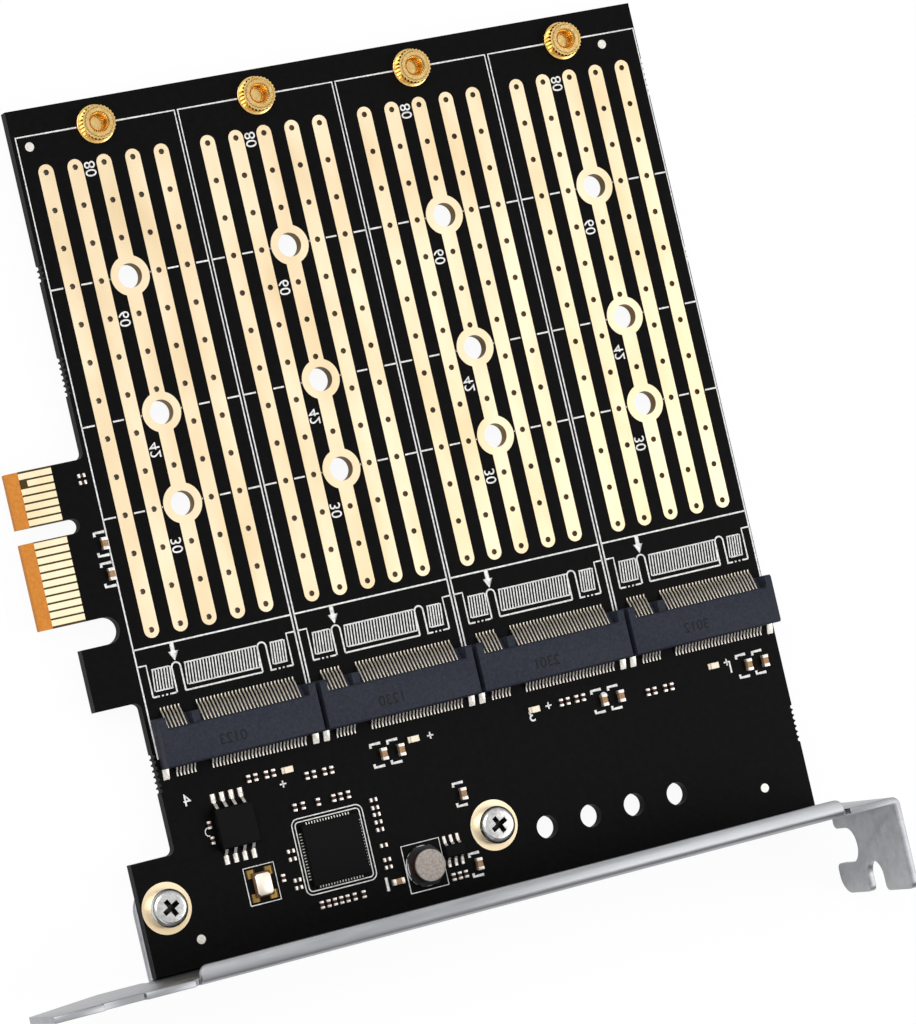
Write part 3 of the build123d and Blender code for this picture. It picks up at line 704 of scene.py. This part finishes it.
# Module sockets: moulded housings with softened edges and a plain mark, bent contact springs and tails
socket = {
    "pinPitch": 0.5,
    "positions": 38,
    "keyed": (6, 7, 8, 9),
    "edge": 0.09,
    "wire": 0.27,
    "spring": ((-24.98, 0.92), (-25.45, 0.95), (-25.75, 1.3), (-27.9, 2.5), (-28.3, 2.55)),
    "tail": ((-32.8, 1.5), (-33.2, 1.2), (-33.5, 0.93), (-34.0, 0.93)),
}
frontPins = [n for n in range(socket["positions"]) if n not in socket["keyed"]]


def pinX(bayX, n):
    return bayX + (n - (socket["positions"] - 1) / 2) * socket["pinPitch"]


for index, bayX in enumerate(bayXs, start=1):
    housing = copyOf(f"socket_housing_{index}", f"housing_{index}")
    housing.data.materials.clear()
    housing.data.materials.append(finish["nylon"])
    softenEdges(housing, socket["edge"])
    settle(housing, "socket_plastic", f"socket_housing_{index}")
    springs = [[(pinX(bayX, n), y, z) for y, z in socket["spring"]] for n in frontPins]
    front = drawLines(f"springs_{index}", springs, socket["wire"], "spring")
    between = bayX + socket["pinPitch"] / 2
    tails = [[(pinX(between, n), y, z) for y, z in socket["tail"]] for n in frontPins[:-1]]
    rear = drawLines(f"tails_{index}", tails, socket["wire"], "solder")
    pins = joined([front, rear], f"contact_springs_{index}")
    settle(pins, "pin_metal", f"socket_pins_{index}")
    digits = "0123"[index - 1 :] + "0123"[: index - 1]
    mark = number(digits, bayX - 1.6, -30.75, 1.4, 0, "darkInk", 4.0, 0.012)
    mark.name = f"housing_mark_{index}"
    settle(mark, "chip_plastic")
print("sockets dressed")

# Standoff: a knurled brass ring on a flange, with a chamfered, tapped bore
post = {
    "y": 49.95,
    "radius": 2.3,
    "height": 1.65,
    "teeth": 28,
    "root": 0.935,
    "flange": 2.55,
    "flangeHeight": 0.3,
    "steps": ((0.22, 0.0), (0.1, 0.1), (0.38, 0.0), (0.22, -0.22)),
    "turns": 5,
    "turnDrop": 0.24,
    "crest": 0.9,
}


def knurledPost(x, y, name):
    center = (x * mm, y * mm, 0)
    bpy.ops.mesh.primitive_cylinder_add(
        vertices=2 * post["teeth"],
        radius=post["radius"] * mm,
        depth=(post["height"] - 0.02) * mm,
        location=(x * mm, y * mm, (top + 0.01 + post["height"] / 2) * mm),
    )
    piece = bpy.context.object
    piece.name = name
    bpy.ops.object.mode_set(mode="EDIT")
    bpy.ops.mesh.select_mode(type="VERT")
    bpy.ops.mesh.select_all(action="DESELECT")
    bpy.ops.object.mode_set(mode="OBJECT")
    step = math.pi / post["teeth"]
    for vertex in piece.data.vertices:
        turn = round(math.atan2(vertex.co.y, vertex.co.x) / step)
        vertex.select = turn % 2 == 0
    bpy.ops.object.mode_set(mode="EDIT")
    bpy.ops.transform.resize(value=(post["root"], post["root"], 1), center_override=center)
    bpy.ops.object.mode_set(mode="OBJECT")
    selectFaces(piece, lambda face: face.normal.z > 0.9)
    bpy.ops.object.mode_set(mode="EDIT")
    for width, rise in post["steps"]:
        bpy.ops.mesh.inset(thickness=width * mm, depth=rise * mm)
    for turn in range(post["turns"]):
        scale = post["crest"] if turn % 2 == 0 else 1 / post["crest"]
        bpy.ops.mesh.extrude_region_move(TRANSFORM_OT_translate={"value": (0, 0, -post["turnDrop"] * mm)})
        bpy.ops.transform.resize(value=(scale, scale, 1), center_override=center)
    bpy.ops.object.mode_set(mode="OBJECT")
    piece.data.materials.append(finish["brass"])
    return piece


def flangeRing(x, y):
    outer = ring(x, y, post["flange"], 48)
    inner = ring(x, y, post["radius"] - 0.5, 48)
    return cutPlate("flange", [outer, inner], post["flangeHeight"], "brass", top, 0.05)


for index, bayX in enumerate(bayXs, start=1):
    knurled = knurledPost(bayX, post["y"], f"knurled_post_{index}")
    whole = joined([knurled, flangeRing(bayX, post["y"])], f"knurled_standoff_{index}")
    activate(whole)
    bpy.ops.object.shade_smooth_by_angle(angle=math.radians(25))
    settle(whole, "brass", f"standoff_{index}")
print("standoffs turned")

# Bracket screws: domed pan heads with a tapered cross recess, on gold lands
screw = {
    "head": 2.5,
    "height": 1.75,
    "dome": 0.75,
    "base": 0.86,
    "shank": 1.45,
    "tip": -2.4,
    "point": 0.25,
    "slot": 0.72,
    "span": 2.9,
    "turn": 28,
}


def crossCutter(x, y):
    arms = []
    for turn in (0, 90):
        bpy.ops.mesh.primitive_cube_add(size=1 * mm, location=(x * mm, y * mm, (screw["base"] + 1.45) * mm))
        arm = bpy.context.object
        arm.scale = (screw["span"], screw["slot"], 1.7)
        arm.rotation_euler = (0, 0, math.radians(turn + screw["turn"]))
        activate(arm)
        bpy.ops.object.transform_apply(location=False, rotation=False, scale=True)
        for vertex in arm.data.vertices:
            if vertex.co.z < 0:
                vertex.co.x *= 0.45
                vertex.co.y *= 0.75
        arms.append(arm)
    return arms


def panHead(x, y, name):
    bpy.ops.mesh.primitive_cylinder_add(
        vertices=48,
        radius=screw["head"] * mm,
        depth=screw["height"] * mm,
        location=(x * mm, y * mm, (screw["base"] + screw["height"] / 2) * mm),
    )
    head = bpy.context.object
    selectFaces(head, lambda face: face.normal.z > 0.9)
    bpy.ops.object.mode_set(mode="EDIT")
    bpy.ops.mesh.bevel(offset=screw["dome"] * mm, segments=6, affect="EDGES")
    bpy.ops.object.mode_set(mode="OBJECT")
    bpy.ops.mesh.primitive_cylinder_add(
        vertices=32,
        radius=screw["shank"] * mm,
        depth=(screw["base"] + 0.3 - screw["tip"]) * mm,
        location=(x * mm, y * mm, (screw["base"] + 0.3 + screw["tip"]) / 2 * mm),
    )
    shank = bpy.context.object
    selectFaces(shank, lambda face: face.normal.z < -0.9)
    bpy.ops.object.mode_set(mode="EDIT")
    bpy.ops.mesh.bevel(offset=screw["point"] * mm, segments=2, affect="EDGES")
    bpy.ops.object.mode_set(mode="OBJECT")
    applyModifier(head, "BOOLEAN", {"operation": "UNION", "object": shank, "solver": "EXACT"})
    bpy.data.objects.remove(shank)
    for arm in crossCutter(x, y):
        applyModifier(head, "BOOLEAN", {"operation": "DIFFERENCE", "object": arm, "solver": "EXACT"})
        bpy.data.objects.remove(arm)
    head.name = name
    head.data.materials.clear()
    for key in ("nickel", "recess"):
        head.data.materials.append(finish[key])
    for face in head.data.polygons:
        reach = math.hypot(face.center.x, face.center.y) / mm
        level = face.center.z / mm
        # Faces inside the cross recess take the near-black recess finish, which is painted shade
        inCross = reach < 1.6 and level > -0.4 and not (level > 0.5 and face.normal.z > 0.95)
        face.material_index = 1 if inCross else 0
    activate(head)
    bpy.ops.object.shade_smooth_by_angle(angle=math.radians(30))
    return head


lands = []
for index, (x, y) in enumerate(screws, start=1):
    head = panHead(x, y, f"pan_head_{index}")
    settle(head, "screw_steel", f"bracket_screw_{index}")
    outlines = [ring(x, y, 3.35, 64), ring(x, y, 1.6, 40)]
    lands.append(cutPlate(f"land_{index}", outlines, 0.06, "strip", top))
settle(joined(lands, "screw_land_rings"), "gold_plating", "screw_lands")
print("screws made")


# Chip parts: a ceramic body between two solder-dipped ends, modelled once for each size
chipSizes = {"capacitor": (1.6, 0.8, 0.8, 0.4), "resistor": (1.0, 0.5, 0.45, 0.3)}


def chipPart(name):
    lengthMm, widthMm, heightMm, capMm = chipSizes[name]
    bpy.ops.mesh.primitive_cube_add(size=1, location=(0, 0, 0))
    piece = bpy.context.object
    piece.name = name
    piece.scale = (widthMm * mm, lengthMm * mm, heightMm * mm)
    piece.location = (0, 0, heightMm / 2 * mm)
    bpy.ops.object.transform_apply(location=True, rotation=False, scale=True)
    bpy.ops.object.mode_set(mode="EDIT")
    for side in (-1, 1):
        bpy.ops.mesh.select_all(action="SELECT")
        cut = side * (lengthMm / 2 - capMm) * mm
        bpy.ops.mesh.bisect(plane_co=(0, cut, 0), plane_no=(0, 1, 0))
    bpy.ops.object.mode_set(mode="OBJECT")
    inner = (lengthMm / 2 - capMm) * mm
    for key in (name, "solder"):
        piece.data.materials.append(finish[key])
    for face in piece.data.polygons:
        face.material_index = 0 if abs(face.center.y) < inner else 1
    selectFaces(piece, lambda face: face.material_index == 0)
    bpy.ops.object.mode_set(mode="EDIT")
    bpy.ops.mesh.inset(thickness=0.02 * mm, depth=-0.03 * mm, use_boundary=True)
    bpy.ops.object.mode_set(mode="OBJECT")
    softenEdges(piece, 0.035, 2, 50)
    return piece


# The small parts stand where the CAD pieces do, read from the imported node
def islandPlaces(node):
    places, turned = [], []
    seen = {}
    mesh = nodes[node].data
    for face in mesh.polygons:
        if face.normal.z > 0.9:
            xs = [mesh.vertices[i].co.x for i in face.vertices]
            ys = [mesh.vertices[i].co.y for i in face.vertices]
            x, y = (min(xs) + max(xs)) / 2, (min(ys) + max(ys)) / 2
            seen[(round(x / mm, 2), round(y / mm, 2))] = max(xs) - min(xs) > max(ys) - min(ys)
    for place, wide in seen.items():
        (turned if wide else places).append(place)
    return places, turned


def placed(model, name, node):
    places, turned = islandPlaces(node)
    pieces = []
    for (x, y), turn in [(place, 0) for place in places] + [(place, 90) for place in turned]:
        twin = copied(model, (x * mm, y * mm, top * mm))
        twin.rotation_euler = (0, 0, math.radians(turn))
        pieces.append(twin)
    bpy.data.objects.remove(model)
    settle(joined(pieces, name), "chip_ceramic", node)


placed(chipPart("capacitor"), "chip_capacitors", "capacitors")
placed(chipPart("resistor"), "chip_resistors", "small_chip_parts")
print("chip parts placed")

# Moulded chips, crystal and lamps: softened copies of the CAD pieces
dressed = (
    ("controller_chip", "controller_body", "epoxy", "chip_plastic", 0.05),
    ("flash_chip", "flash_body", "epoxy", "chip_plastic", 0.05),
    ("regulator_chip", "regulator_body", "epoxy", "chip_plastic", 0.04),
    ("flash_chip_leads", "flash_leads", "solder", "tinned_metal", 0.03),
    ("regulator_chip_leads", "regulator_leads", "solder", "tinned_metal", 0.03),
    ("crystal_base", "crystal_case", "crystal", "crystal_ceramic", 0.05),
    ("crystal_lid", "crystal_cap", "lid", "crystal_metal", 0.06),
    ("socket_hold_downs", "hold_down_tabs", "tin", "tinned_metal", 0.05),
    ("status_lamps", "lamp_blocks", "lamp", "lamp_resin", 0.06),
)
for node, name, key, slotName, widthMm in dressed:
    piece = copyOf(node, name)
    piece.data.materials.clear()
    piece.data.materials.append(finish[key])
    softenEdges(piece, widthMm)
    settle(piece, slotName, node)

# Inductor: a smooth drum over a dark base, wound between its flanges
rim = ring(coil["x"], coil["y"], coil["radius"], 56)
drum = cutPlate("drum_top", [rim], coil["rimHeight"], "ferrite", top + coil["rim"], 0.08)
base = copyOf("inductor_core", "drum_base")
base.data.materials.clear()
base.data.materials.append(finish["ferriteDark"])
activate(base)
bpy.ops.object.mode_set(mode="EDIT")
bpy.ops.mesh.select_all(action="SELECT")
underRim = (0, 0, (top + coil["rim"] - 0.01) * mm)
bpy.ops.mesh.bisect(plane_co=underRim, plane_no=(0, 0, 1), clear_outer=True, use_fill=True)
bpy.ops.object.mode_set(mode="OBJECT")
drumPiece = joined([drum, base], "inductor_drum")
settle(drumPiece, "ferrite", "inductor_core")
turns = []
for layer in range(5):
    loop = ring(coil["x"], coil["y"], coil["wound"], 36)
    turns.append([(x, y, top + 0.61 + layer * coil["wire"]) for x, y in loop])
winding = drawLines("inductor_turns", turns, coil["wire"], "wire", closed=True)
sleeve = copyOf("inductor_winding", "winding_sleeve")
sleeve.data.materials.clear()
sleeve.data.materials.append(finish["wire"])
settle(joined([sleeve, winding], "inductor_wire"), "enamelled_wire", "inductor_winding")
mark = number("100", coil["x"] + 0.1, coil["y"], 1.1, 70, "darkInk", top + 2.085, 0.012)
mark.name = "inductor_mark"
settle(mark, "chip_plastic")

# Solder round the controller's flat pads, and the lands that the other parts are soldered to
padLines = []
for i in range(controller["pads"]):
    offset = (i - (controller["pads"] - 1) / 2) * controller["pitch"]
    alongX, alongY = controller["x"] + offset, controller["y"] + offset
    for side in (-1, 1):
        ends = ((side * controller["from"], 0.86), (side * controller["to"], 0.83))
        padLines.append([(alongX, controller["y"] + out, z) for out, z in ends])
        padLines.append([(controller["x"] + out, alongY, z) for out, z in ends])
pads = drawLines("controller_solder", padLines, 0.18, "tin")
settle(pads, "tinned_metal")
landLines = []
for i in range(4):
    x = flash["x"] + (i - 1.5) * flash["pitch"]
    for side in (-1, 1):
        landLines.append([(x, flash["y"] + side * out, 0, 1.2) for out in (3.5, 4.6)])
for i in range(3):
    x = regulator["x"] + (i - 1) * regulator["pitch"]
    for side in (-1, 1):
        landLines.append([(x, regulator["y"] + side * out, 0, 0.8) for out in (1.3, 2.05)])
soldered = drawLines("solder_lands", landLines, 0.62, "solder", top, 0.08)
settle(soldered, "tinned_metal")
crystalLines = []
for side in (-1, 1):
    for end in (-1, 1):
        x = crystal["x"] + side * 1.25
        crystalLines.append([(x, crystal["y"] + end * out) for out in (1.0, 2.1)])
# The crystal lands take the same darkened hole-wall gold and carry its painted shade
settle(drawLines("crystal_lands", crystalLines, 1.2, "barrel", top, 0.04), "gold_plating")
dots = [ring(x, y, 0.6, 24) for x, y in ((13.0, 48.55), (95.9, 48.55), (94.4, -54.1), (11.6, -54.85))]
settle(cutPlate("fiducial_dots", dots, 0.04, "tin", top), "tinned_metal")
paint("edge_contacts_front", "contact")
paint("edge_contacts_back", "contact")

# Bracket: the folded sheet with its punched corners rounded and its edges broken
tab = {"reach": 10.0, "corner": 0.8, "edge": 0.07}
folded = copyOf("bracket", "bracket_folded")
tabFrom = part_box("bracket")[0][1] + tab["reach"] * mm
normals = {}
for face in folded.data.polygons:
    for key in face.edge_keys:
        normals.setdefault(key, []).append(face.normal.copy())
bpy.ops.object.mode_set(mode="EDIT")
bpy.ops.mesh.select_mode(type="EDGE")
bpy.ops.mesh.select_all(action="DESELECT")
bpy.ops.object.mode_set(mode="OBJECT")
rounded = 0
for edge in folded.data.edges:
    a, b = (folded.data.vertices[i].co for i in edge.vertices)
    crosswise = abs(a.x - b.x) > 0.9 * (a - b).length
    sides = normals[edge.key]
    edge.select = crosswise and a.y < tabFrom and len(sides) == 2 and sides[0].dot(sides[1]) < 0.75
    rounded += edge.select
bpy.ops.object.mode_set(mode="EDIT")
bpy.ops.mesh.bevel(offset=tab["corner"] * mm, segments=4, affect="EDGES", clamp_overlap=True)
bpy.ops.object.mode_set(mode="OBJECT")
folded.data.materials.clear()
folded.data.materials.append(finish["zinc"])
softenEdges(folded, tab["edge"])
settle(folded, "bracket_steel", "bracket")
print("bracket folded, corners rounded:", rounded)
print("small parts dressed")


paper = {"size": 4.0, "seen": 0.94, "reflected": 0.35}


def addFloor():
    bpy.ops.mesh.primitive_plane_add(size=paper["size"], location=(0.045, 0, cadBox[0][2] - 0.0001))
    floor = bpy.context.object
    floor.name = "floor"
    material = newMaterial("pale paper", "f4f4f4", 0.0, 0.9)
    tree = material.node_tree
    shader = tree.nodes["Principled BSDF"]
    rays = addNode(material, "ShaderNodeLightPath")
    glossy, transmitted = rays.outputs["Is Glossy Ray"], rays.outputs["Is Transmission Ray"]
    through = addMath(material, "MAXIMUM", glossy, transmitted)
    bounced = addMath(material, "MULTIPLY", through, paper["reflected"])
    direct = addMath(material, "MULTIPLY", rays.outputs["Is Camera Ray"], paper["seen"])
    share = addMath(material, "MAXIMUM", bounced, direct)
    glow = addNode(material, "ShaderNodeEmission", {"Color": (1, 1, 1, 1), "Strength": 1.0})
    mixed = addNode(material, "ShaderNodeMixShader", {}, {"Fac": share})
    tree.links.new(shader.outputs["BSDF"], mixed.inputs[1])
    tree.links.new(glow.outputs["Emission"], mixed.inputs[2])
    tree.links.new(mixed.outputs["Shader"], tree.nodes["Material Output"].inputs["Surface"])
    floor.data.materials.append(material)


def addLamp(name, place, size, power):
    data = bpy.data.lights.new(name, "AREA")
    data.size = size
    data.energy = power
    lamp = bpy.data.objects.new(name, data)
    lamp.location = place
    lamp.rotation_euler = (Vector((0.045, 0, 0)) - Vector(place)).to_track_quat("-Z", "Y").to_euler()
    bpy.context.scene.collection.objects.link(lamp)


# Studio: bright overhead, greyer towards the horizon, so that upright metal reads darker than what faces up
def addStudio():
    world = bpy.data.worlds.new("studio")
    world.use_nodes = True
    back = world.node_tree.nodes["Background"]
    place = addNode(world, "ShaderNodeTexCoord")
    height = addNode(world, "ShaderNodeSeparateXYZ", {}, {"Vector": place.outputs["Generated"]})
    ramp = addNode(world, "ShaderNodeValToRGB", {}, {"Fac": height.outputs["Z"]})
    ramp.color_ramp.elements[0].position = 0.02
    ramp.color_ramp.elements[0].color = (0.1, 0.1, 0.11, 1)
    ramp.color_ramp.elements[1].position = 0.75
    ramp.color_ramp.elements[1].color = (0.82, 0.82, 0.82, 1)
    rays = addNode(world, "ShaderNodeLightPath")
    seen = rays.outputs["Is Camera Ray"]
    mixed = addNode(world, "ShaderNodeMix", {"data_type": "RGBA"}, {"Factor": seen})
    world.node_tree.links.new(ramp.outputs["Color"], mixed.inputs[6])
    mixed.inputs[7].default_value = (1, 1, 1, 1)
    world.node_tree.links.new(mixed.outputs[2], back.inputs["Color"])
    back.inputs["Strength"].default_value = 1.0
    bpy.context.scene.world = world


addFloor()
addLamp("key softbox", (-0.5, 0.5, 1.2), 0.8, 9.0)
addLamp("fill softbox", (0.9, -0.3, 0.9), 0.8, 4.0)
addStudio()
print("floor, lamps and studio set")
